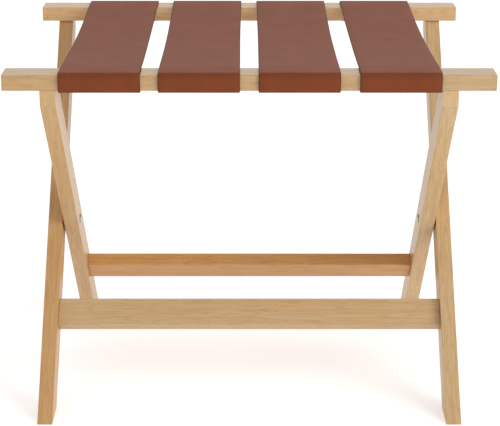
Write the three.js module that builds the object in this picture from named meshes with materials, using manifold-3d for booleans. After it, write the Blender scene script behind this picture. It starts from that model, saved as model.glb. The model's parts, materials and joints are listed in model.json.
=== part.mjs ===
// Folding hotel luggage rack: two beech frames that cross like an X and carry four leather straps.
// Millimetres. +X runs along the rails, +Y to the back, +Z up. The origin is on the floor,
// under the middle of the rack, and the frames turn on an axis along X above it.

import * as THREE from "three";
import { mergeVertices } from "three/addons/utils/BufferGeometryUtils.js";
import Module from "manifold-3d";

const wasm = await Module();
wasm.setup();

// Overall sizes. The length along the rails follows from the straps and what stands beside them.
const rackDepth = 485; // over the outer faces of the two rails
const rackHeight = 500; // floor to the rails' top faces
const pivotHeight = 224;

// Timber sections.
const railDepth = 40;
const railHeight = 21;
const legWidth = 40;
const legThickness = 21;
const stretcherWidth = 40;
const stretcherThickness = 20;
const easedEdge = 1.5; // rounding of the bars' long edges

// Where the bars meet.
const legSetback = 5; // rail's inner face to the leg's edge, along the rail's underside
const legSlit = 2.5; // between an inner leg and the outer leg beside it
const railOverhang = 25.25; // outer leg's outer face to the rail's end
const stretcherDrop = 151; // pivot axis to the stretcher's middle, along the leg
const fitGap = 0.3; // between pieces that touch

// Straps.
const strapCount = 4;
const strapWidth = 105;
const strapSpace = 25; // between neighbouring straps
const strapLegGap = 2.75; // outer strap's edge to the inner leg
const strapThickness = 2.4;
const strapSag = 5; // at mid span
const strapTail = 30; // strap end to the rail's outer face, along the underside
const tackInset = 14; // strap end to the tacks' line
const tackSpacing = 70;

// Dowels: the first length goes into the leg, the second into the rail or the stretcher.
const dowelDiameter = 8;
const dowelChamfer = 1;
const railDowelInLeg = 18;
const railDowelInRail = 13;
const railDowelSpacing = 16;
const stretcherDowelInLeg = 12;
const stretcherDowelInStretcher = 20;
const stretcherDowelSpacing = 20;

// Pivot hardware.
const sleeveDiameter = 8;
const boltDiameter = 5;
const boltEngagement = 24; // length of the shank inside the sleeve
const pivotHeadDiameter = 13;
const pivotHeadThickness = 1.6;
const pivotHeadEdge = 0.4;
const slotWidth = 1.6;
const slotDepth = 0.8;
const spacerDiameter = 20;

// Tacks.
const tackHeadDiameter = 9;
const tackHeadHeight = 2.2;
const tackShankDiameter = 1.8;
const tackLength = 12; // head's underside to the tip
const tackPoint = 3;

// Facets.
const roundSides = 16;
const tackSides = 8;
const domeSteps = 3;
const edgeSteps = 1;
const strapSteps = 6;

const quarterTurn = Math.PI / 2;

// Derived places.
const railTop = rackHeight;
const railUnderside = rackHeight - railHeight;
const legTop = railUnderside - fitGap;
const railFace = rackDepth / 2;
const railMiddle = railFace - railDepth / 2;
const railInnerFace = railFace - railDepth;
const strapPitch = strapWidth + strapSpace;
const strapsHalf = ((strapCount - 1) * strapPitch + strapWidth) / 2;
const innerLegMiddle = strapsHalf + strapLegGap + legThickness / 2;
const outerLegMiddle = innerLegMiddle + legThickness + legSlit;
const railLength = 2 * (outerLegMiddle + legThickness / 2 + railOverhang);

// The lean puts the leg's inner edge on the rail's underside at the setback,
// with the leg's centre line through the pivot axis.
const edgeReach = railInnerFace + legSetback;
const edgeRise = railUnderside - pivotHeight;
const lean = Math.atan2(edgeReach, edgeRise) + Math.asin(legWidth / 2 / Math.hypot(edgeReach, edgeRise));

// A leg's dowels stand midway between its upper edge at the top and, at their lower ends, its plumb face,
// or its lower edge where the leg is too slim for the plumb face to reach that far down.
const lowerEdgeReach = edgeReach + legWidth / Math.cos(lean) - (railDowelInLeg + fitGap) * Math.tan(lean);
const railDowelMiddle = (edgeReach + Math.min(railFace, lowerEdgeReach)) / 2;

// The tacks' line, from the middle of the rack, and the height of their heads' undersides.
const tackLine = railFace - strapTail + tackInset;
const tackSeatHeight = railUnderside - strapThickness - 2 * fitGap;

const beech = { color: 0xc9a878, roughness: 0.5, metalness: 0 };
const dowelBeech = { color: 0xd6bb92, roughness: 0.7, metalness: 0 };
const leather = { color: 0x8a5240, roughness: 0.55, metalness: 0 };
const zincSteel = { color: 0xa3a3a0, roughness: 0.35, metalness: 1 };
const nylon = { color: 0x3a3836, roughness: 0.6, metalness: 0 };
const antiqueBrass = { color: 0x6f5a40, roughness: 0.4, metalness: 1 };

function toSolid(geometry) {
  const bare = geometry.clone();
  bare.deleteAttribute("normal");
  bare.deleteAttribute("uv");
  const merged = mergeVertices(bare);
  const index = merged.index.array;
  const corners = [];
  for (let first = 0; first < index.length; first += 3) {
    const [a, b, c] = index.slice(first, first + 3);
    if (a !== b && b !== c && c !== a) {
      corners.push(a, b, c);
    }
  }
  const vertProperties = new Float32Array(merged.attributes.position.array);
  const triVerts = new Uint32Array(corners);
  return new wasm.Manifold(new wasm.Mesh({ numProp: 3, vertProperties, triVerts }));
}

function toGeometry(solid) {
  const { numProp, vertProperties, triVerts } = solid.getMesh();
  const geometry = new THREE.BufferGeometry();
  geometry.setAttribute("position", new THREE.BufferAttribute(vertProperties, numProp));
  geometry.setIndex(new THREE.BufferAttribute(triVerts, 1));
  geometry.computeVertexNormals();
  return geometry;
}

// Cuts tools, given in the coordinates of the group that holds the mesh, out of a placed mesh.
function cut(mesh, tools) {
  mesh.updateMatrix();
  const intoMesh = mesh.matrix.clone().invert();
  let solid = toSolid(mesh.geometry);
  for (const tool of tools) {
    solid = solid.subtract(toSolid(tool.clone().applyMatrix4(intoMesh)));
  }
  mesh.geometry = toGeometry(solid);
}

// Turns a section drawn across the rack, in Y and Z, into a solid of the given length along X.
function alongRails(section, length, curveSegments) {
  const geometry = new THREE.ExtrudeGeometry(section, { depth: length, bevelEnabled: false, curveSegments });
  const axes = new THREE.Matrix4().makeBasis(
    new THREE.Vector3(0, 1, 0),
    new THREE.Vector3(0, 0, 1),
    new THREE.Vector3(1, 0, 0),
  );
  return geometry.translate(0, 0, -length / 2).applyMatrix4(axes);
}

function piece(name, geometry, look) {
  const mesh = new THREE.Mesh(geometry, new THREE.MeshStandardMaterial(look));
  mesh.name = name;
  return mesh;
}

// A bar with eased long edges, centred on the origin: length along X, width along Y, thickness along Z.
function bar(length, width, thickness) {
  const y = width / 2 - easedEdge;
  const z = thickness / 2 - easedEdge;
  const section = new THREE.Shape();
  section.absarc(y, -z, easedEdge, -quarterTurn, 0);
  section.absarc(y, z, easedEdge, 0, quarterTurn);
  section.absarc(-y, z, easedEdge, quarterTurn, 2 * quarterTurn);
  section.absarc(-y, -z, easedEdge, 2 * quarterTurn, 3 * quarterTurn);
  return alongRails(section, length, edgeSteps);
}

// A turned piece with its axis along Z, from [radius, z] pairs that start and end on the axis.
function turned(profile, sides) {
  const points = profile.map(([radius, z]) => new THREE.Vector2(radius, z));
  return new THREE.LatheGeometry(points, sides).rotateX(quarterTurn);
}

// A round hole's tool or a plain pin, along Z from z = low to z = high.
function pin(diameter, low, high, sides = roundSides) {
  const radius = diameter / 2;
  return turned([[0, low], [radius, low], [radius, high], [0, high]], sides);
}

// Turns a piece made along Z so that it lies along X, with its +Z end towards the given side.
function alongX(geometry, side) {
  return geometry.rotateY(side * quarterTurn);
}

function dowel(low, high) {
  const radius = dowelDiameter / 2;
  const tip = radius - dowelChamfer;
  const profile = [[0, low], [tip, low], [radius, low + dowelChamfer]];
  profile.push([radius, high - dowelChamfer], [tip, high], [0, high]);
  return turned(profile, roundSides);
}

function dowelHole(low, high) {
  return pin(dowelDiameter + 2 * fitGap, low - fitGap, high + fitGap);
}

// Tack, point up, with its domed head's flat underside at z = 0.
function tack() {
  const radius = tackHeadDiameter / 2;
  const shank = tackShankDiameter / 2;
  const dome = [];
  for (let step = 0; step <= domeSteps; step += 1) {
    const angle = (step / domeSteps) * quarterTurn;
    dome.push([radius * Math.sin(angle), -tackHeadHeight * Math.cos(angle)]);
  }
  return turned([...dome, [shank, 0], [shank, tackLength - tackPoint], [0, tackLength]], tackSides);
}

function tackHole() {
  return pin(tackShankDiameter + 2 * fitGap, -fitGap, tackLength + fitGap, tackSides);
}

function sideName(x) {
  return x < 0 ? "left" : "right";
}

// Where the straps lie along the rails, and where the tacks stand along them: two at each strap end.
const strapMiddles = [];
const tackPlaces = [];
for (let strap = 1; strap <= strapCount; strap += 1) {
  const middle = (strap - (strapCount + 1) / 2) * strapPitch;
  strapMiddles.push(middle);
  for (const side of [-1, 1]) {
    tackPlaces.push({ strap, side, x: middle + (side * tackSpacing) / 2 });
  }
}

function makeRail(name) {
  const mesh = piece(name, bar(railLength, railDepth, railHeight), beech);
  mesh.position.set(0, -railMiddle, railTop - railHeight / 2);
  return mesh;
}

// A point on the legs' centre line, at a distance up from the pivot axis.
function alongLeg(x, distance) {
  return new THREE.Vector3(x, -distance * Math.sin(lean), pivotHeight + distance * Math.cos(lean));
}

function makeStretcher(name, legMiddle) {
  const length = 2 * (legMiddle - legThickness / 2 - fitGap);
  const mesh = piece(name, bar(length, stretcherThickness, stretcherWidth), beech);
  mesh.position.copy(alongLeg(0, -stretcherDrop));
  mesh.rotation.x = lean;
  return mesh;
}

// A bar through the pivot, sawn level at the floor and under the rail, and plumb with the rail's outer face.
function makeLeg(name, x) {
  const roughLength = 2 * Math.hypot(rackDepth, rackHeight);
  const mesh = piece(name, bar(roughLength, legWidth, legThickness).rotateY(-quarterTurn), beech);
  mesh.position.copy(alongLeg(x, 0));
  mesh.rotation.x = lean;
  mesh.updateMatrix();
  const envelope = new THREE.BoxGeometry(2 * legThickness, roughLength, legTop);
  envelope.translate(x, roughLength / 2 - railFace, legTop / 2);
  envelope.applyMatrix4(mesh.matrix.clone().invert());
  mesh.geometry = toGeometry(toSolid(mesh.geometry).intersect(toSolid(envelope)));
  return mesh;
}

function pivotHole(x) {
  const hole = alongX(pin(sleeveDiameter + 2 * fitGap, -legThickness, legThickness), 1);
  return hole.translate(x, 0, pivotHeight);
}

// A fastener, with the hole that it needs in the pieces it joins.
function fastener(name, look, place, geometry, hole) {
  const mesh = piece(name, geometry, look);
  mesh.position.copy(place);
  return { mesh, hole: hole.translate(place.x, place.y, place.z) };
}

// Two dowels stand upright between a leg's top and the rail.
function railDowels(name, x) {
  return [0, 1].map((index) => {
    const y = -railDowelMiddle + (index - 0.5) * railDowelSpacing;
    const place = new THREE.Vector3(x, y, railUnderside);
    const ends = [-railDowelInLeg, railDowelInRail];
    return fastener(`${name}_${index + 1}`, dowelBeech, place, dowel(...ends), dowelHole(...ends));
  });
}

// Two dowels lie along X between a leg's inner face and the stretcher's end, across the stretcher's width.
function stretcherDowels(name, side, legMiddle) {
  return [0, 1].map((index) => {
    const distance = -stretcherDrop + (index - 0.5) * stretcherDowelSpacing;
    const place = alongLeg(side * (legMiddle - legThickness / 2), distance);
    const ends = [-stretcherDowelInStretcher, stretcherDowelInLeg];
    const geometry = alongX(dowel(...ends), side);
    return fastener(`${name}_${index + 1}`, dowelBeech, place, geometry, alongX(dowelHole(...ends), side));
  });
}

// Tacks go up through the strap ends into the rail at the front of the frame.
function railTacks(name, flip) {
  return tackPlaces.map(({ strap, side, x }) => {
    const number = flip < 0 ? strapCount + 1 - strap : strap;
    const place = new THREE.Vector3(x, -tackLine, tackSeatHeight);
    return fastener(`${name}_${number}_${sideName(side * flip)}`, antiqueBrass, place, tack(), tackHole());
  });
}

// One frame: a rail, two legs that lean out to it, and a stretcher low between the legs. It is drawn with
// its rail at the front, and the outer frame is turned half round, which swaps its left and right.
function makeFrame({ rail, leg, stretcher, legMiddle, turn }) {
  const flip = Math.round(Math.cos(turn));
  const railMesh = makeRail(`${rail}_rail`);
  const stretcherMesh = makeStretcher(`${stretcher}_stretcher`, legMiddle);
  const tacks = railTacks(`${rail}_tack`, flip);
  const frame = new THREE.Group();
  frame.rotation.z = turn;
  frame.add(railMesh, stretcherMesh, ...tacks.map(({ mesh }) => mesh));
  cut(railMesh, tacks.map(({ hole }) => hole));

  for (const side of [-1, 1]) {
    const name = sideName(side * flip);
    const x = side * legMiddle;
    const legMesh = makeLeg(`${leg}_leg_${name}`, x);
    const upright = railDowels(`${rail}_rail_dowel_${name}`, x);
    const lying = stretcherDowels(`${stretcher}_stretcher_dowel_${name}`, side, legMiddle);
    const uprightHoles = upright.map(({ hole }) => hole);
    const lyingHoles = lying.map(({ hole }) => hole);
    cut(legMesh, [pivotHole(x), ...uprightHoles, ...lyingHoles]);
    cut(railMesh, uprightHoles);
    cut(stretcherMesh, lyingHoles);
    frame.add(legMesh, ...[...upright, ...lying].map(({ mesh }) => mesh));
  }
  return frame;
}

// A line along the strap at an offset from the rails: from its end under the front rail, round the rail's
// outer face, over the top with a slight sag, and down round the rear rail to its other end.
function strapLine(offset) {
  const under = railUnderside - fitGap - offset;
  const over = railTop + fitGap + offset;
  const end = railFace - strapTail;
  const restEnd = railInnerFace + easedEdge;
  const bend = easedEdge + fitGap + offset;
  const bendY = railFace - easedEdge;
  const bendLow = railUnderside + easedEdge;
  const bendHigh = railTop - easedEdge;
  const line = new THREE.Path();
  line.moveTo(-end, under);
  line.lineTo(-bendY, under);
  line.absarc(-bendY, bendLow, bend, 3 * quarterTurn, 2 * quarterTurn, true);
  line.absarc(-bendY, bendHigh, bend, 2 * quarterTurn, quarterTurn, true);
  line.lineTo(-restEnd, over);
  line.quadraticCurveTo(0, over - 2 * strapSag, restEnd, over);
  line.absarc(bendY, bendHigh, bend, quarterTurn, 0, true);
  line.absarc(bendY, bendLow, bend, 0, -quarterTurn, true);
  line.lineTo(end, under);
  return line.getPoints(strapSteps);
}

function makeStraps() {
  const straps = new THREE.Group();
  const section = new THREE.Shape([...strapLine(0), ...strapLine(strapThickness).reverse()]);
  strapMiddles.forEach((middle, index) => {
    const mesh = piece(`strap_${index + 1}`, alongRails(section, strapWidth), leather);
    mesh.position.x = middle;
    const holes = [];
    for (const { x } of tackPlaces.filter((place) => place.strap === index + 1)) {
      holes.push(tackHole().translate(x, -tackLine, tackSeatHeight));
      holes.push(tackHole().translate(x, tackLine, tackSeatHeight));
    }
    cut(mesh, holes);
    straps.add(mesh);
  });
  return straps;
}

// The hinge on one side: a slotted bolt from the inside, a sleeve nut from the outside, a spacer in the slit.
// Each is turned along Z with its head at the top, then laid along X with the head to its own side.
function makePivot(side) {
  const name = sideName(side);
  const head = pivotHeadDiameter / 2;
  const rim = head - pivotHeadEdge;
  const crown = pivotHeadThickness;
  const shoulder = crown - pivotHeadEdge;
  const shank = boltDiameter / 2;
  const barrel = sleeveDiameter / 2;
  const bore = shank + fitGap;
  const innerFace = innerLegMiddle - legThickness / 2 - fitGap;
  const outerFace = outerLegMiddle + legThickness / 2 + fitGap;
  const sleeveLength = outerFace - innerFace - fitGap;
  const boreDepth = sleeveLength - pivotHeadThickness;

  const boltProfile = [[0, -boltEngagement], [shank, -boltEngagement], [shank, 0]];
  boltProfile.push([head, 0], [head, shoulder], [rim, crown], [0, crown]);
  const boltMesh = piece(`pivot_bolt_${name}`, turned(boltProfile, roundSides), zincSteel);
  const slot = new THREE.BoxGeometry(2 * head, slotWidth, 2 * slotDepth).translate(0, 0, crown);
  cut(boltMesh, [slot]);
  boltMesh.geometry = alongX(boltMesh.geometry, -side);
  boltMesh.position.set(side * innerFace, 0, pivotHeight);

  const sleeveProfile = [[0, -sleeveLength + boreDepth], [bore, -sleeveLength + boreDepth]];
  sleeveProfile.push([bore, -sleeveLength], [barrel, -sleeveLength], [barrel, 0]);
  sleeveProfile.push([head, 0], [head, shoulder], [rim, crown], [0, crown]);
  const sleeveGeometry = alongX(turned(sleeveProfile, roundSides), side);
  const sleeveMesh = piece(`pivot_sleeve_${name}`, sleeveGeometry, zincSteel);
  sleeveMesh.position.set(side * outerFace, 0, pivotHeight);

  const spacerHalf = legSlit / 2 - fitGap;
  const spacerBore = barrel + fitGap;
  const spacerRim = spacerDiameter / 2;
  const spacerProfile = [[spacerBore, -spacerHalf], [spacerRim, -spacerHalf], [spacerRim, spacerHalf]];
  spacerProfile.push([spacerBore, spacerHalf], [spacerBore, -spacerHalf]);
  const spacerGeometry = alongX(turned(spacerProfile, roundSides), side);
  const spacerMesh = piece(`pivot_spacer_${name}`, spacerGeometry, nylon);
  spacerMesh.position.set(side * (innerLegMiddle + legThickness / 2 + legSlit / 2), 0, pivotHeight);

  const pivot = new THREE.Group();
  pivot.add(boltMesh, sleeveMesh, spacerMesh);
  return pivot;
}

const rack = new THREE.Group();
rack.add(
  makeFrame({ rail: "front", leg: "inner", stretcher: "rear", legMiddle: innerLegMiddle, turn: 0 }),
  makeFrame({ rail: "rear", leg: "outer", stretcher: "front", legMiddle: outerLegMiddle, turn: Math.PI }),
  makeStraps(),
  makePivot(-1),
  makePivot(1),
);

export default rack;
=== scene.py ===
import json
import math

import bmesh
import bpy
from mathutils import Matrix, Vector


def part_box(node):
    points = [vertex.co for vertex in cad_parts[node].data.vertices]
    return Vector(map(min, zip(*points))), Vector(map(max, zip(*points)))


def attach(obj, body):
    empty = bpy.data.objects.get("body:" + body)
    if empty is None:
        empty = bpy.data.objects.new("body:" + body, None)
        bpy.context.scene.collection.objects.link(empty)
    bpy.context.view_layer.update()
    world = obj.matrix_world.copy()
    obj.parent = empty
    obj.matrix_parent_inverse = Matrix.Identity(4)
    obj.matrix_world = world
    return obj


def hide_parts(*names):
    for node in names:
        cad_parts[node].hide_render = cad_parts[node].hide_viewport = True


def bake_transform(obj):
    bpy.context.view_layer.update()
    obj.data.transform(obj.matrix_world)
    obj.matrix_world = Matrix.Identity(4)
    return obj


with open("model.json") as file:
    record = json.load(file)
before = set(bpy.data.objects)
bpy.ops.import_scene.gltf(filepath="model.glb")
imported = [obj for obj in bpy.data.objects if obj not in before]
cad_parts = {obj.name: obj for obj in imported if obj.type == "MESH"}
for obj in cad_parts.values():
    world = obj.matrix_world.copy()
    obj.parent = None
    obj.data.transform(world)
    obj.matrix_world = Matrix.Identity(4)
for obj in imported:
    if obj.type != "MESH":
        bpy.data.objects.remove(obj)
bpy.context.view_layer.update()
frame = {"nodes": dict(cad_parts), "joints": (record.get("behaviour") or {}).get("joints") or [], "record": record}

mm = 0.001
tiny = 0.01 * mm   # places closer than this are the same
weld = 0.001 * mm  # corners closer than this are merged
scene = bpy.context.scene
scene.view_settings.view_transform = "Standard"
bodyOf = {node: body for body, nodes in frame["record"]["behaviour"]["bodies"].items() for node in nodes}
print("frame loaded,", len(frame["nodes"]), "nodes")


# camera, matched to the photograph's edges, for a picture of 500 x 426
camera = {
    "place": (0.001, -2.28563, 0.99236),
    "tiltDown": 18.391,  # degrees below level
    "focal": 117.175,    # mm
    "sensor": 36,        # mm wide
}


def makeCamera():
    data = bpy.data.cameras.new("photoCamera")
    data.lens = camera["focal"]
    data.sensor_width = camera["sensor"]
    holder = bpy.data.objects.new("photoCamera", data)
    holder.location = camera["place"]
    holder.rotation_euler = (math.radians(90 - camera["tiltDown"]), 0, 0)
    scene.collection.objects.link(holder)
    scene.camera = holder


makeCamera()


# small helpers for node trees
def linear(hexColour):
    shares = [int(hexColour[i:i + 2], 16) / 255 for i in (1, 3, 5)]
    return (*[s / 12.92 if s <= 0.04045 else ((s + 0.055) / 1.055) ** 2.4 for s in shares], 1)


def feed(node, inputs):
    # an input takes a plain value, or a link from another node's output
    for socket, given in inputs.items():
        if isinstance(given, bpy.types.NodeSocket):
            node.id_data.links.new(given, node.inputs[socket])
        else:
            node.inputs[socket].default_value = given


def addNode(tree, kind, inputs=None, **settings):
    node = tree.nodes.new("ShaderNode" + kind)
    for name, setting in settings.items():
        setattr(node, name, setting)
    feed(node, inputs or {})
    return node


def newMaterial(name):
    material = bpy.data.materials.new(name)
    material.use_nodes = True
    return material, material.node_tree, material.node_tree.nodes["Principled BSDF"]


def stain(tree, pattern, shown, under, over):
    # one colour over another: shown is where the pattern starts to show, where it is full, and how much
    start, full, most = shown
    inputs = {"Value": pattern, "From Min": start, "From Max": full, "To Max": most}
    amount = addNode(tree, "MapRange", inputs).outputs[0]
    colours = {0: amount, 6: under, 7: over}  # the Mix node's colour sockets have no names of their own
    return addNode(tree, "Mix", colours, data_type="RGBA").outputs[2]


throughout = (0, 1, 1)  # for stain, a pattern that shows from its lowest to its highest


# beech, planed and finished with a thin clear lacquer: pale straw brown with a fine straight grain,
# faint bands of the yearly rings, short darker flecks and a satin sheen
beech = {
    "light": ("#d2b081", "#d8a568"),    # a pale bar's colour, and a warm one's
    "ring": ("#c7a573", "#cb965a"),
    "streak": ("#b08753", "#b0773f"),
    "fleck": ("#94683c", "#8f5c30"),
    "end": ("#ceb185", "#cfa26a"),      # sawn across, where the lacquer sinks in
    "endRing": ("#b3956a", "#b18455"),
    "patchSize": (260, 25, 25),         # mm along the bar, and both ways across it
    "ringSize": (300, 3.5, 3.5),
    "swellSize": (170, 13, 13),         # a slow swell whose contours are the growth lines
    "streakSize": (50, 1.4, 1.4),       # coarser than real pores so that they show
    "fleckSize": (5, 0.7, 0.7),
    "endRingSize": (30, 30, 1.6),
    "patchDetail": 1,                   # layers of finer noise in each pattern
    "ringDetail": 2,
    "swellDetail": 2,
    "streakDetail": 3,
    "fleckDetail": 1,
    "endRingDetail": 2,
    "patchShown": (0.35, 0.65, 1),
    "ringShown": (0.35, 0.65, 0.5),
    "lineShown": (0.3, 1, 0.3),
    "streakShown": (0.48, 0.72, 0.5),
    "fleckShown": (0.64, 0.74, 0.4),
    "endRingShown": (0.35, 0.75, 1),
    "endShown": (0.3, 1, 1),            # by how squarely a face lies across the bar
    "patchWarmth": 0.25,                # either side of the bar's own
    "growthLines": 8.75,                # from the swell's lowest to its highest
    "roughnessSpread": 0.05,            # either side of the bar's own
    "relief": 0.0015,                   # mm
}


def makeBeech(name, warmth, paleness, roughness, turn):
    # turn is the pair of angles that lays the bar's length along the pattern's x axis
    material, tree, shader = newMaterial(name)
    place = addNode(tree, "TexCoord").outputs
    laid = addNode(tree, "Mapping", {"Vector": place["Object"], "Rotation": (*turn, 0)}).outputs[0]
    facing = addNode(tree, "Mapping", {"Vector": place["Normal"], "Rotation": (*turn, 0)}).outputs[0]

    def tone(part, share):
        pale, warm = [linear(colour) for colour in beech[part]]
        return [(p + (w - p) * share) * paleness for p, w in zip(pale, warm)]

    def grain(pattern):
        scale = [1 / (side * mm) for side in beech[pattern + "Size"]]
        stretched = addNode(tree, "Mapping", {"Vector": laid, "Scale": scale}).outputs[0]
        inputs = {"Vector": stretched, "Scale": 1, "Detail": beech[pattern + "Detail"]}
        return addNode(tree, "TexNoise", inputs).outputs["Fac"]

    streaks = grain("streak")
    inputs = {0: grain("swell"), 1: 2 * math.pi * beech["growthLines"]}
    phase = addNode(tree, "Math", inputs, operation="MULTIPLY").outputs[0]
    lines = addNode(tree, "Math", {0: phase}, operation="SINE").outputs[0]
    lengthwise = addNode(tree, "SeparateXYZ", {0: facing}).outputs["X"]
    sawnAcross = addNode(tree, "Math", {0: lengthwise}, operation="ABSOLUTE").outputs[0]

    paler, warmer = [tone("light", warmth + side * beech["patchWarmth"]) for side in (-1, 1)]
    wood = stain(tree, grain("patch"), beech["patchShown"], paler, warmer)
    wood = stain(tree, grain("ring"), beech["ringShown"], wood, tone("ring", warmth))
    wood = stain(tree, lines, beech["lineShown"], wood, tone("streak", warmth))
    wood = stain(tree, streaks, beech["streakShown"], wood, tone("streak", warmth))
    wood = stain(tree, grain("fleck"), beech["fleckShown"], wood, tone("fleck", warmth))
    end, endRing = tone("end", warmth), tone("endRing", warmth)
    sawn = stain(tree, grain("endRing"), beech["endRingShown"], end, endRing)
    wood = stain(tree, sawnAcross, beech["endShown"], wood, sawn)
    low, high = [roughness + side * beech["roughnessSpread"] for side in (-1, 1)]
    gloss = addNode(tree, "MapRange", {"Value": streaks, "To Min": low, "To Max": high}).outputs[0]
    inputs = {"Height": streaks, "Distance": beech["relief"] * mm}
    relief = addNode(tree, "Bump", inputs, invert=True).outputs[0]
    feed(shader, {"Base Color": wood, "Roughness": gloss, "Normal": relief})
    return material


# the legs' lean comes from the line between the pivot and the stretchers
pivot = Vector(frame["joints"][0]["pos_m"])
stretcherLow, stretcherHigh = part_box("rear_stretcher")
stretcherMiddle = (stretcherLow + stretcherHigh) / 2
lean = math.atan2(stretcherMiddle.y, pivot.z - stretcherMiddle.z)

# each bar is cut from another board: how warm it is, how pale, how rough its lacquer, and how it lies. The warmth
# and paleness are partly the board's own tone and partly painted light and shade: the left legs are painted darker
# and warmer and the right legs paler, and each bar is lightened or darkened for how light falls on it
boardsAndPaintedLight = {
    "front_rail": (0.1, 0.9, 0.27, (0, 0)),
    "rear_rail": (0.3, 1.01, 0.27, (0, 0)),
    "front_stretcher": (0.05, 0.985, 0.27, (0, 0)),
    "rear_stretcher": (1.05, 1.03, 0.35, (0, 0)),
    "inner_leg_left": (0.2, 1.03, 0.35, (-lean, math.pi / 2)),
    "inner_leg_right": (0.05, 1.09, 0.35, (-lean, math.pi / 2)),
    "outer_leg_left": (0.75, 0.9, 0.35, (lean, math.pi / 2)),
    "outer_leg_right": (0.15, 0.97, 0.35, (lean, math.pi / 2)),
}


# pieces go into the scene as finished meshes, in place, at the origin
def addPiece(name, bm, materials, body, node):
    bmesh.ops.recalc_face_normals(bm, faces=bm.faces[:])
    mesh = bpy.data.meshes.new(name)
    bm.to_mesh(mesh)
    bm.free()
    for material in materials:
        mesh.materials.append(material)
    mesh.shade_smooth()
    piece = bpy.data.objects.new(name, mesh)
    scene.collection.objects.link(piece)
    if body:
        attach(piece, body)
    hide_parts(node)
    return piece


# timber bars
bar = {
    "legWidth": 40 * mm,
    "uncutLeg": 1.5,             # metres, long enough for its saw cuts
    "stretcherWidth": 40 * mm,
    "stretcherThickness": 20 * mm,
    "easing": 0.8 * mm,          # rounding of the edges that a hand can touch
    "easingSteps": 4,
    "sharp": math.radians(40),   # edges sharper than this stay crisp
}


def makeBar(node, size, place, sawCuts=(), butts=lambda one, other: False):
    # butts tells an edge, by its two ends, that meets another bar and stays sharp
    bm = bmesh.new()
    bmesh.ops.create_cube(bm, size=1, matrix=place @ Matrix.Diagonal((*size, 1)))
    for point, waste in sawCuts:  # waste is the side that falls off
        whole = bm.verts[:] + bm.edges[:] + bm.faces[:]
        cut = bmesh.ops.bisect_plane(bm, geom=whole, plane_co=point, plane_no=waste, clear_outer=True)
        rim = [part for part in cut["geom_cut"] if isinstance(part, bmesh.types.BMEdge)]
        bmesh.ops.holes_fill(bm, edges=rim)
    eased = [edge for edge in bm.edges if not butts(*[v.co for v in edge.verts])]
    bmesh.ops.bevel(bm, geom=eased, offset=bar["easing"], offset_type="OFFSET", affect="EDGES",
                    segments=bar["easingSteps"], profile=0.5, material=-1, clamp_overlap=True)
    wood = makeBeech("lacquered_beech_" + node, *boardsAndPaintedLight[node])
    piece = addPiece(node + "_wood", bm, [wood], bodyOf[node], node)
    piece.data.set_sharp_from_angle(angle=bar["sharp"])
    flat = piece.modifiers.new("flatFaces", "WEIGHTED_NORMAL")  # wide faces stay flat beside the easing
    flat.keep_sharp = True


for node in ("front_rail", "rear_rail"):
    low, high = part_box(node)
    makeBar(node, high - low, Matrix.Translation((low + high) / 2))

for node, side in (("front_stretcher", -1), ("rear_stretcher", 1)):
    low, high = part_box(node)
    size = (high.x - low.x, bar["stretcherThickness"], bar["stretcherWidth"])
    place = Matrix.Translation((low + high) / 2) @ Matrix.Rotation(side * lean, 4, "X")
    makeBar(node, size, place, butts=lambda one, other: abs(one.x - other.x) < tiny)

railLow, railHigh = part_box("rear_rail")
for frameName, side in (("inner", 1), ("outer", -1)):
    for hand in ("left", "right"):
        node = f"{frameName}_leg_{hand}"
        low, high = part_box(node)
        size = (high.x - low.x, bar["legWidth"], bar["uncutLeg"])
        middle = Matrix.Translation(((low.x + high.x) / 2, 0, pivot.z))
        sawCuts = [
            ((0, 0, low.z), (0, 0, -1)),                  # level at the floor
            ((0, 0, railLow.z), (0, 0, 1)),               # level under the rail
            ((0, -side * railHigh.y, 0), (0, -side, 0)),  # plumb with the rail's outer face
        ]
        makeBar(node, size, middle @ Matrix.Rotation(side * lean, 4, "X"), sawCuts,
                butts=lambda one, other: min(one.z, other.z) > railLow.z - tiny)
print("timber bars made, lean", round(math.degrees(lean), 2))


# strap leather, drum dyed chestnut with a smooth pressed grain side: even warm brown with a soft sheen
leather = {
    "brown": "#843f1d",
    "shade": "#783a1a",
    "line": "#6b331a",           # along the edges, and as painted shade where it is bent over the rails
    "edgeBrown": "#582a14",
    "fleshBrown": "#8d5f43",
    "cloud": 38,                 # mm
    "cloudDetail": 3,
    "cloudShown": (0.3, 0.7, 0.8),
    "pore": 1.3,                 # mm, coarser than real pores so that they show
    "poreShown": (0.3, 0.7, 0.25),
    "poreRelief": 0.0175,        # mm
    "edgeReach": 3,              # mm in from the edge
    "edgeShade": 0.6,
    # painted shade: a darker band across the strap where it bends over each rail's upper outer edge
    "bendReach": 6,              # mm each way
    "bendPaintedShade": 0.65,
    "roughness": (0.52, 0.58),
    "specular": 0.2,
    "edgeFibre": 1.5,            # mm
    "edgeDetail": 3,
    "edgeRoughness": 0.6,
    "edgeSpecular": 0.12,
    "nap": 1.2,                  # mm, coarser than real nap so that it shows
    "napDetail": 4,
    "napRelief": 0.09,           # mm
    "napRoughness": 0.9,
}


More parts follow.
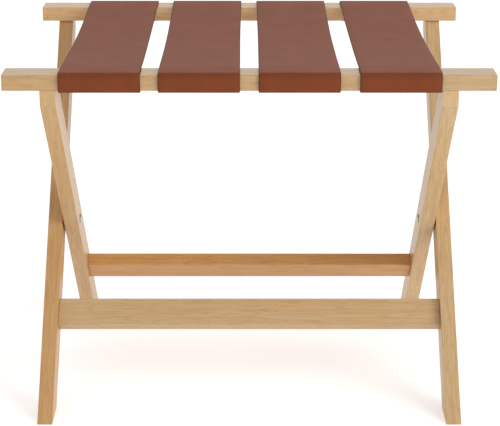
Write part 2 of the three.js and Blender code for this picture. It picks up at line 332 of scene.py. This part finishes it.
def makeGrainSide(halfWidth, length, paintedShadeAt):
    material, tree, shader = newMaterial("strap_leather_grain_side")
    place = addNode(tree, "UVMap", uv_map="strapFlat").outputs[0]  # metres across and along the strap
    hidePlace = addNode(tree, "UVMap", uv_map="strapHide").outputs[0]  # each strap's own part of the hide
    inputs = {"Vector": hidePlace, "Scale": 1 / (leather["cloud"] * mm), "Detail": leather["cloudDetail"]}
    clouds = addNode(tree, "TexNoise", inputs).outputs["Fac"]
    inputs = {"Vector": place, "Scale": 1 / (leather["pore"] * mm)}
    pores = addNode(tree, "TexVoronoi", inputs).outputs["Distance"]

    def awayFrom(value, mark):
        off = addNode(tree, "Math", {0: value, 1: mark}, operation="SUBTRACT").outputs[0]
        return addNode(tree, "Math", {0: off}, operation="ABSOLUTE").outputs[0]

    axes = addNode(tree, "SeparateXYZ", {0: place}).outputs
    fromMiddle = awayFrom(axes["X"], 0)
    fromBend = awayFrom(awayFrom(axes["Y"], length / 2), length / 2 - paintedShadeAt)
    edgeShown = (halfWidth - leather["edgeReach"] * mm, halfWidth, leather["edgeShade"])
    bendPaintedShadeShown = (leather["bendReach"] * mm, 0, leather["bendPaintedShade"])
    brown, shade, line = [linear(leather[part]) for part in ("brown", "shade", "line")]
    hide = stain(tree, clouds, leather["cloudShown"], brown, shade)
    hide = stain(tree, pores, leather["poreShown"], hide, line)
    # painted shade: a darker band across the strap where it bends over each rail
    hide = stain(tree, fromBend, bendPaintedShadeShown, hide, line)
    hide = stain(tree, fromMiddle, edgeShown, hide, line)
    low, high = leather["roughness"]
    gloss = addNode(tree, "MapRange", {"Value": clouds, "To Min": low, "To Max": high}).outputs[0]
    relief = addNode(tree, "Bump", {"Height": pores, "Distance": leather["poreRelief"] * mm}).outputs[0]
    feed(shader, {"Base Color": hide, "Roughness": gloss, "Normal": relief,
                  "Specular IOR Level": leather["specular"]})
    return material


# the strap's cut edge, stained and burnished: darker than the grain side and dull
def makeCutEdge():
    material, tree, shader = newMaterial("strap_leather_burnished_edge")
    place = addNode(tree, "TexCoord").outputs["Object"]
    scale = 1 / (leather["edgeFibre"] * mm)
    inputs = {"Vector": place, "Scale": scale, "Detail": leather["edgeDetail"]}
    fibres = addNode(tree, "TexNoise", inputs).outputs["Fac"]
    rubbed = stain(tree, fibres, throughout, linear(leather["edgeBrown"]), linear(leather["line"]))
    feed(shader, {"Base Color": rubbed, "Roughness": leather["edgeRoughness"],
                  "Specular IOR Level": leather["edgeSpecular"]})
    return material


# the strap's flesh side, left as sueded: paler brown, rough and without shine
def makeFleshSide():
    material, tree, shader = newMaterial("strap_leather_flesh_side")
    place = addNode(tree, "UVMap", uv_map="strapFlat").outputs[0]
    inputs = {"Vector": place, "Scale": 1 / (leather["nap"] * mm), "Detail": leather["napDetail"]}
    nap = addNode(tree, "TexNoise", inputs).outputs["Fac"]
    suede = stain(tree, nap, throughout, linear(leather["fleshBrown"]), linear(leather["shade"]))
    relief = addNode(tree, "Bump", {"Height": nap, "Distance": leather["napRelief"] * mm}).outputs[0]
    feed(shader, {"Base Color": suede, "Roughness": leather["napRoughness"], "Normal": relief})
    return material


# straps, each cut flat and wrapped round both rails
strap = {
    "thickness": 2.4 * mm,
    "gap": 0.3 * mm,          # clear of the rails
    "tail": 30 * mm,          # end to the rail's outer face, under the rail
    "sag": 5 * mm,
    "corner": 1.5 * mm,       # the rails' rounding that it follows
    "bendDepth": 5 * mm,      # at the rail's upper outer edge, to the middle of the leather
    "bendDrop": 9 * mm,
    "bulge": 1.4 * mm,        # how far it stands off the rail's face there, and off its top
    "rise": 0.4 * mm,
    "paintedShadeLine": 1 * mm,       # below the rail's top, the middle of the painted shade at the bend
    "spread": 0.5 * mm,       # each edge, where the pull presses it flat on the rails
    "drift": ((1.2, 0), (0, -0.7), (0.2, -0.9), (1.1, -0.5)),  # mm off square, front and rear
    "endRadius": 8 * mm,      # round corners of the cut ends
    "edgeRadius": 1 * mm,
    "tailSteps": 12,
    "tailCrowding": 1.8,      # above 1, the steps are closer at the rounded end
    "bendSteps": 12,
    "faceSteps": 5,
    "topSteps": 7,
    "spanSteps": 24,
    "acrossSteps": 10,
    "edgeSteps": 6,
}


def smooth(share):
    return share * share * (3 - 2 * share)


def strapStations():
    # places down the strap's middle, (y, z), from its end under the front rail over to the rear one
    half, thick = [], strap["thickness"] / 2
    face = railHigh.y + strap["gap"] + thick
    top = railHigh.z + strap["gap"] + thick
    under = railLow.z - strap["gap"] - thick
    tight, bulge, rise = strap["corner"] + strap["gap"] + thick, strap["bulge"], strap["rise"]
    depth, drop = strap["bendDepth"], strap["bendDrop"]
    tailEnd = railHigh.y - strap["tail"]
    spanEnd = railLow.y + strap["corner"]
    quarter = [math.pi / 2 * step / strap["bendSteps"] for step in range(strap["bendSteps"] + 1)]
    for step in range(strap["tailSteps"]):
        share = (step / strap["tailSteps"]) ** strap["tailCrowding"]
        half.append((-tailEnd - (face - tight - tailEnd) * share, under))
    for turn in quarter:
        half.append((tight - face - tight * math.sin(turn), under + tight - tight * math.cos(turn)))
    faceLow, faceHigh = under + tight, top + rise - drop
    for step in range(1, strap["faceSteps"]):
        share = step / strap["faceSteps"]
        half.append((-face - bulge * smooth(share), faceLow + (faceHigh - faceLow) * share))
    for turn in quarter:
        half.append((depth - face - bulge - depth * math.cos(turn), faceHigh + drop * math.sin(turn)))
    topStart = face + bulge - depth
    for step in range(1, strap["topSteps"]):
        share = step / strap["topSteps"]
        half.append((-topStart + (topStart - spanEnd) * share, top + rise * (1 - smooth(share))))
    for step in range(strap["spanSteps"] + 1):
        y = -spanEnd * (1 - step / strap["spanSteps"])
        half.append((y, top - strap["sag"] * (1 - (y / spanEnd) ** 2)))
    return half + [(-y, z) for y, z in reversed(half[:-1])]


def outward(stations):
    normals = []
    last = len(stations) - 1
    for i in range(len(stations)):
        (y0, z0), (y1, z1) = stations[max(i - 1, 0)], stations[min(i + 1, last)]
        step = math.hypot(y1 - y0, z1 - z0)
        normals.append(((z0 - z1) / step, (y1 - y0) / step))
    return normals


def strapSection(halfWidth):
    # round the strap's cut: (across, out, which leather) from the grain side's left edge
    flatHalf = halfWidth - strap["edgeRadius"]
    thick = strap["thickness"] / 2
    section = []
    for side, leatherIndex in ((1, 0), (-1, 2)):
        for step in range(strap["acrossSteps"]):
            across = flatHalf * (2 * step / strap["acrossSteps"] - 1)
            section.append((side * across, side * thick, leatherIndex))
        for step in range(strap["edgeSteps"]):
            turn = math.pi / 2 - math.pi * step / strap["edgeSteps"]
            reach = strap["edgeRadius"] * math.cos(turn)
            section.append((side * (flatHalf + reach), side * thick * math.sin(turn), 1))
    return section + [section[0]]


def makeStrap(number, drift, materials):
    low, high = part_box(f"strap_{number}")
    middle, halfWidth = (low.x + high.x) / 2, (high.x - low.x) / 2
    section = strapSection(halfWidth)
    front, rear = [offset * mm for offset in drift]
    rows, columns = len(stations) - 1, len(section) - 1

    bm = bmesh.new()
    flat = bm.loops.layers.uv.new("strapFlat")
    hide = bm.loops.layers.uv.new("strapHide")
    bmesh.ops.create_grid(bm, x_segments=columns, y_segments=rows, size=0.5)
    spot = {v: (round((v.co.x + 0.5) * columns), round((v.co.y + 0.5) * rows)) for v in bm.verts}
    for face in bm.faces:
        face.material_index = section[min(spot[v][0] for v in face.verts)][2]
        for loop in face.loops:
            column, row = spot[loop.vert]
            loop[flat].uv = (section[column][0], along[row])
            loop[hide].uv = (section[column][0] + middle, along[row] + middle)
    for v, (column, row) in spot.items():
        across, out, _ = section[column]
        (y, z), (ny, nz) = stations[row], normals[row]
        radius = strap["endRadius"]
        fromEnd = min(along[row], along[-1] - along[row], radius)
        inset = radius - math.sqrt(radius ** 2 - (radius - fromEnd) ** 2)
        toRear = min(max((y / railLow.y + 1) / 2, 0), 1)
        wide = 1 + strap["spread"] / halfWidth * smooth(abs(2 * toRear - 1)) - inset / halfWidth
        x = middle + front + (rear - front) * toRear + across * wide
        v.co = (x, y + out * ny, z + out * nz)
    bmesh.ops.remove_doubles(bm, verts=bm.verts[:], dist=weld)
    ends = bmesh.ops.holes_fill(bm, edges=[edge for edge in bm.edges if edge.is_boundary])
    for face in ends["faces"]:
        face.material_index = 1
    piece = addPiece(f"strap_{number}_leather", bm, materials, None, f"strap_{number}")
    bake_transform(piece)


stations = strapStations()
normals = outward(stations)
along = [0]
for (y0, z0), (y1, z1) in zip(stations, stations[1:]):
    along.append(along[-1] + math.hypot(y1 - y0, z1 - z0))
# where the painted shade at each bend is darkest, measured along the strap
paintedShadeAt = next(length for length, (y, z) in zip(along, stations) if z > railHigh.z - strap["paintedShadeLine"])
strapLow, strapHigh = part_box("strap_1")
grainSide = makeGrainSide((strapHigh.x - strapLow.x) / 2, along[-1], paintedShadeAt)
strapLeathers = [grainSide, makeCutEdge(), makeFleshSide()]
for number, drift in enumerate(strap["drift"], 1):
    makeStrap(number, drift, strapLeathers)
print("straps made, cut length", round(along[-1] / mm, 1), "mm")


# zinc plated steel, machine turned: cool grey with a soft shine and faint turning marks
zinc = {
    "light": "#d9d9d6",
    "dull": "#b4b5b3",
    "mark": 1,            # mm between turning marks, coarser than real ones so that they show
    "waver": 0.6,
    "markRelief": 0.003,  # mm
    "bloom": 4,           # mm, cloudy patches in the plating
    "bloomDetail": 3,
    "roughness": (0.28, 0.45),
}


def makeZinc():
    material, tree, shader = newMaterial("zinc_plated_steel")
    place = addNode(tree, "TexCoord").outputs["Object"]
    centred = addNode(tree, "Mapping", {"Vector": place, "Location": tuple(-pivot)}).outputs[0]
    inputs = {"Vector": centred, "Scale": 1 / (zinc["bloom"] * mm), "Detail": zinc["bloomDetail"]}
    bloom = addNode(tree, "TexNoise", inputs).outputs["Fac"]
    scale = math.pi / (10 * zinc["mark"] * mm)  # a wave at scale 1 is pi / 10 long
    inputs = {"Vector": centred, "Scale": scale, "Distortion": zinc["waver"]}
    marks = addNode(tree, "TexWave", inputs, wave_type="RINGS", rings_direction="X").outputs["Fac"]
    plate = stain(tree, bloom, throughout, linear(zinc["light"]), linear(zinc["dull"]))
    low, high = zinc["roughness"]
    gloss = addNode(tree, "MapRange", {"Value": bloom, "To Min": low, "To Max": high}).outputs[0]
    relief = addNode(tree, "Bump", {"Height": marks, "Distance": zinc["markRelief"] * mm}).outputs[0]
    feed(shader, {"Base Color": plate, "Roughness": gloss, "Normal": relief, "Metallic": 1})
    return material


# nylon, moulded: dark brown with a fine dull texture
nylon = {
    "brown": "#3a2412",
    "dark": "#2c1a0c",
    "spark": 0.6,           # mm, the mould's spark-eroded texture
    "sparkDetail": 2,
    "sparkRelief": 0.008,   # mm
    "roughness": 0.55,
}


def makeNylon():
    material, tree, shader = newMaterial("moulded_nylon")
    place = addNode(tree, "TexCoord").outputs["Object"]
    inputs = {"Vector": place, "Scale": 1 / (nylon["spark"] * mm), "Detail": nylon["sparkDetail"]}
    spark = addNode(tree, "TexNoise", inputs).outputs["Fac"]
    moulded = stain(tree, spark, throughout, linear(nylon["brown"]), linear(nylon["dark"]))
    relief = addNode(tree, "Bump", {"Height": spark, "Distance": nylon["sparkRelief"] * mm}).outputs[0]
    feed(shader, {"Base Color": moulded, "Roughness": nylon["roughness"], "Normal": relief})
    return material


# turned pieces: (radius, along) pairs spun about an axis
def spinProfile(profile, axis, start, steps):
    bm = bmesh.new()
    axis = Vector(axis)
    side = axis.orthogonal().normalized()
    line = [bm.verts.new(start + axis * along + side * radius) for radius, along in profile]
    edges = [bm.edges.new(pair) for pair in zip(line, line[1:])]
    bmesh.ops.spin(bm, geom=line + edges, cent=start, axis=axis, angle=2 * math.pi, steps=steps,
                   use_merge=True)
    bmesh.ops.remove_doubles(bm, verts=bm.verts[:], dist=weld)
    return bm


hinge = {
    "headRadius": 6.5 * mm,
    "headHeight": 1.6 * mm,
    "headEdge": 0.7 * mm,
    "edgeSteps": 4,
    "boltRadius": 2.5 * mm,
    "boltLength": 24 * mm,
    "boltSlot": math.radians(40),     # how its screwdriver slot came to stand
    "sleeveRadius": 4 * mm,
    "sleeveBore": 2.8 * mm,
    "sleeveSlot": math.radians(-25),
    "slotWidth": 1.6 * mm,
    "slotDepth": 0.8 * mm,
    "spacerBore": 4.3 * mm,
    "spacerRadius": 10 * mm,
    "spacerEdge": 0.3 * mm,
    "steps": 48,
    "sharp": math.radians(35),        # edges sharper than this stay crisp
}


def headProfile():
    # from the middle of the head's crown to its underside
    crown, edge, head = hinge["headHeight"], hinge["headEdge"], hinge["headRadius"]
    rim = [(0, crown)]
    for step in range(hinge["edgeSteps"] + 1):
        turn = math.pi / 2 * (1 - step / hinge["edgeSteps"])
        rim.append((head - edge + edge * math.cos(turn), crown - edge + edge * math.sin(turn)))
    return rim + [(head, 0)]


def cutSlot(bm, seat, outside, turn):
    # a screwdriver slot sunk into the head's crown
    across = Vector((0, math.cos(turn), math.sin(turn)))
    crown = seat + outside * hinge["headHeight"]
    for edge in (-1, 1):
        whole = bm.verts[:] + bm.edges[:] + bm.faces[:]
        cheek = seat + across * edge * hinge["slotWidth"] / 2
        bmesh.ops.bisect_plane(bm, geom=whole, plane_co=cheek, plane_no=across)
    slot = [face for face in bm.faces
            if all(abs(v.co.x - crown.x) < tiny for v in face.verts)
            and abs((face.calc_center_median() - seat).dot(across)) < hinge["slotWidth"] / 2]
    floor = bmesh.ops.extrude_face_region(bm, geom=slot)["geom"]
    bmesh.ops.delete(bm, geom=slot, context="FACES_ONLY")
    sunk = [part for part in floor if isinstance(part, bmesh.types.BMVert)]
    bmesh.ops.translate(bm, verts=sunk, vec=outside * -hinge["slotDepth"])


def makeHinge(hand, side, steel, washer):
    outside = Vector((side, 0, 0))

    def addTurned(part, bm, material, finish):
        node = f"pivot_{part}_{hand}"
        piece = addPiece(f"{node}_{finish}", bm, [material], "outer_frame", node)
        piece.data.set_sharp_from_angle(angle=hinge["sharp"])

    # bolt, from the inner leg's inner face
    low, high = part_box("pivot_bolt_" + hand)
    seat = Vector(((low.x if side > 0 else high.x) + side * hinge["headHeight"], pivot.y, pivot.z))
    radius, length = hinge["boltRadius"], hinge["boltLength"]
    shank = [(radius, 0), (radius, -length), (0, -length)]
    bm = spinProfile(headProfile() + shank, -outside, seat, hinge["steps"])
    cutSlot(bm, seat, -outside, hinge["boltSlot"])
    addTurned("bolt", bm, steel, "steel")

    # sleeve nut, from the outer leg's outer face
    low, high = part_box("pivot_sleeve_" + hand)
    seat = Vector(((high.x if side > 0 else low.x) - side * hinge["headHeight"], pivot.y, pivot.z))
    radius, bore, wall = hinge["sleeveRadius"], hinge["sleeveBore"], hinge["headHeight"]
    length = high.x - low.x - hinge["headHeight"]
    barrel = [(radius, 0), (radius, -length), (bore, -length), (bore, -wall), (0, -wall)]
    bm = spinProfile(headProfile() + barrel, outside, seat, hinge["steps"])
    cutSlot(bm, seat, outside, hinge["sleeveSlot"])
    addTurned("sleeve", bm, steel, "steel")

    # spacer washer in the slit between the legs
    low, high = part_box("pivot_spacer_" + hand)
    seat = Vector((low.x, pivot.y, pivot.z))
    wide, edge = high.x - low.x, hinge["spacerEdge"]
    bore, rim = hinge["spacerBore"], hinge["spacerRadius"]
    ring = [(bore, 0), (rim - edge, 0), (rim, edge), (rim, wide - edge), (rim - edge, wide), (bore, wide)]
    bm = spinProfile(ring + ring[:1], (1, 0, 0), seat, hinge["steps"])
    addTurned("spacer", bm, washer, "nylon")


steel, washer = makeZinc(), makeNylon()
for hand, side in (("left", -1), ("right", 1)):
    makeHinge(hand, side, steel, washer)


# brass, pressed and aged: dull gold brown, darker in patches
brass = {
    "gold": "#9a7d4f",
    "dark": "#5e4930",
    "patina": 2.5,        # mm
    "patinaDetail": 4,
    "patinaShown": (0.4, 0.65, 1),
    "roughness": (0.3, 0.55),
}


def makeBrass():
    material, tree, shader = newMaterial("aged_brass")
    place = addNode(tree, "TexCoord").outputs["Object"]
    inputs = {"Vector": place, "Scale": 1 / (brass["patina"] * mm), "Detail": brass["patinaDetail"]}
    patina = addNode(tree, "TexNoise", inputs).outputs["Fac"]
    metal = stain(tree, patina, brass["patinaShown"], linear(brass["gold"]), linear(brass["dark"]))
    low, high = brass["roughness"]
    gloss = addNode(tree, "MapRange", {"Value": patina, "To Min": low, "To Max": high}).outputs[0]
    feed(shader, {"Base Color": metal, "Roughness": gloss, "Metallic": 1})
    return material


# tacks, point up through the strap ends into the rails
tack = {
    "headRadius": 4.5 * mm,
    "headHeight": 2.2 * mm,
    "shankRadius": 0.9 * mm,
    "length": 12 * mm,
    "point": 3 * mm,
    "domeSteps": 6,
    "steps": 24,
    "sharp": math.radians(50),
}


def makeTack(node, metal):
    low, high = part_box(node)
    seat = Vector(((low.x + high.x) / 2, (low.y + high.y) / 2, low.z + tack["headHeight"]))
    dome = []
    for step in range(tack["domeSteps"] + 1):
        turn = math.pi / 2 * step / tack["domeSteps"]
        dome.append((tack["headRadius"] * math.sin(turn), -tack["headHeight"] * math.cos(turn)))
    radius, length = tack["shankRadius"], tack["length"]
    shank = [(radius, 0), (radius, length - tack["point"]), (0, length)]
    bm = spinProfile(dome + shank, (0, 0, 1), seat, tack["steps"])
    piece = addPiece(node + "_brass", bm, [metal], bodyOf[node], node)
    piece.data.set_sharp_from_angle(angle=tack["sharp"])


tackBrass = makeBrass()
for node in sorted(frame["nodes"]):
    if "_tack_" in node:
        makeTack(node, tackBrass)


# beech dowel rod, rolled and left bare: paler than the lacquered bars
dowel = {
    "pale": "#dcc39c",
    "fibreBrown": "#c4a478",
    "fibre": 1.2,        # mm
    "fibreDetail": 3,
    "roughness": 0.75,
}


def makeDowelBeech():
    material, tree, shader = newMaterial("bare_beech_dowel")
    place = addNode(tree, "TexCoord").outputs["Object"]
    inputs = {"Vector": place, "Scale": 1 / (dowel["fibre"] * mm), "Detail": dowel["fibreDetail"]}
    fibres = addNode(tree, "TexNoise", inputs).outputs["Fac"]
    rod = stain(tree, fibres, throughout, linear(dowel["pale"]), linear(dowel["fibreBrown"]))
    feed(shader, {"Base Color": rod, "Roughness": dowel["roughness"]})
    return material


# dowels keep their frame shape, hidden in the joints
dowelBeech = makeDowelBeech()
for node, holder in frame["nodes"].items():
    if "_dowel_" in node:
        holder.data.materials.clear()
        holder.data.materials.append(dowelBeech)
print("hinges, tacks and dowels made")


# studio: pale floor, soft white surroundings and one large lamp on the right
studio = {
    "floor": "#f7f7f7",
    "floorSize": 8,             # metres each way from the middle
    "floorGlow": 0.13,          # a white table lit from below
    "floorLift": 0.3,           # added for the camera, so that the open floor is white and keeps its shadow
    "paperPatch": 0.65,         # metres
    "paperDetail": 2,
    "paperRoughness": (0.85, 0.95),
    "surroundings": 0.64,
    "lamp": 266,                # watts
    "lampSize": 5,              # metres
    "lampPlace": (5.4, -3.8, 3.0),
    "lampAim": (0, 0, 0.3),
    "white": (1, 1, 1, 1),
}


def seenDirectly(tree):
    # 1 for what the camera sees straight, in a mirror or through glass
    path = addNode(tree, "LightPath").outputs
    inputs = {0: path["Is Camera Ray"], 1: path["Is Glossy Ray"]}
    seen = addNode(tree, "Math", inputs, operation="MAXIMUM").outputs[0]
    return addNode(tree, "Math", {0: seen, 1: path["Is Transmission Ray"]}, operation="MAXIMUM").outputs[0]


# paper floor, matt white: even, with no shine
def makeFloor():
    material, tree, shader = newMaterial("white_paper_floor")
    place = addNode(tree, "TexCoord").outputs["Object"]
    inputs = {"Vector": place, "Scale": 1 / studio["paperPatch"], "Detail": studio["paperDetail"]}
    paper = addNode(tree, "TexNoise", inputs).outputs["Fac"]
    low, high = studio["paperRoughness"]
    gloss = addNode(tree, "MapRange", {"Value": paper, "To Min": low, "To Max": high}).outputs[0]
    inputs = {0: seenDirectly(tree), 1: studio["floorLift"], 2: studio["floorGlow"]}
    glow = addNode(tree, "Math", inputs, operation="MULTIPLY_ADD").outputs[0]
    feed(shader, {"Base Color": linear(studio["floor"]), "Roughness": gloss, "Specular IOR Level": 0,
                  "Emission Color": studio["white"], "Emission Strength": glow})
    bm = bmesh.new()
    bmesh.ops.create_grid(bm, x_segments=1, y_segments=1, size=studio["floorSize"])
    mesh = bpy.data.meshes.new("floor")
    bm.to_mesh(mesh)
    bm.free()
    mesh.materials.append(material)
    floor = bpy.data.objects.new("floor", mesh)
    scene.collection.objects.link(floor)


def makeSurroundings():
    world = bpy.data.worlds.new("studio")
    world.use_nodes = True
    scene.world = world
    tree = world.node_tree
    inputs = {"Color": studio["white"], "Strength": studio["surroundings"]}
    light = addNode(tree, "Background", inputs).outputs[0]
    backdrop = addNode(tree, "Background", {"Color": studio["white"], "Strength": 1}).outputs[0]
    both = addNode(tree, "MixShader", {0: seenDirectly(tree), 1: light, 2: backdrop}).outputs[0]
    feed(tree.nodes["World Output"], {"Surface": both})


def makeLamp():
    data = bpy.data.lights.new("softbox", "AREA")
    data.energy = studio["lamp"]
    data.size = studio["lampSize"]
    lamp = bpy.data.objects.new("softbox", data)
    lamp.location = studio["lampPlace"]
    aim = Vector(studio["lampAim"]) - lamp.location
    lamp.rotation_euler = aim.to_track_quat("-Z", "Y").to_euler()
    scene.collection.objects.link(lamp)


makeFloor()
makeSurroundings()
makeLamp()
print("studio set")
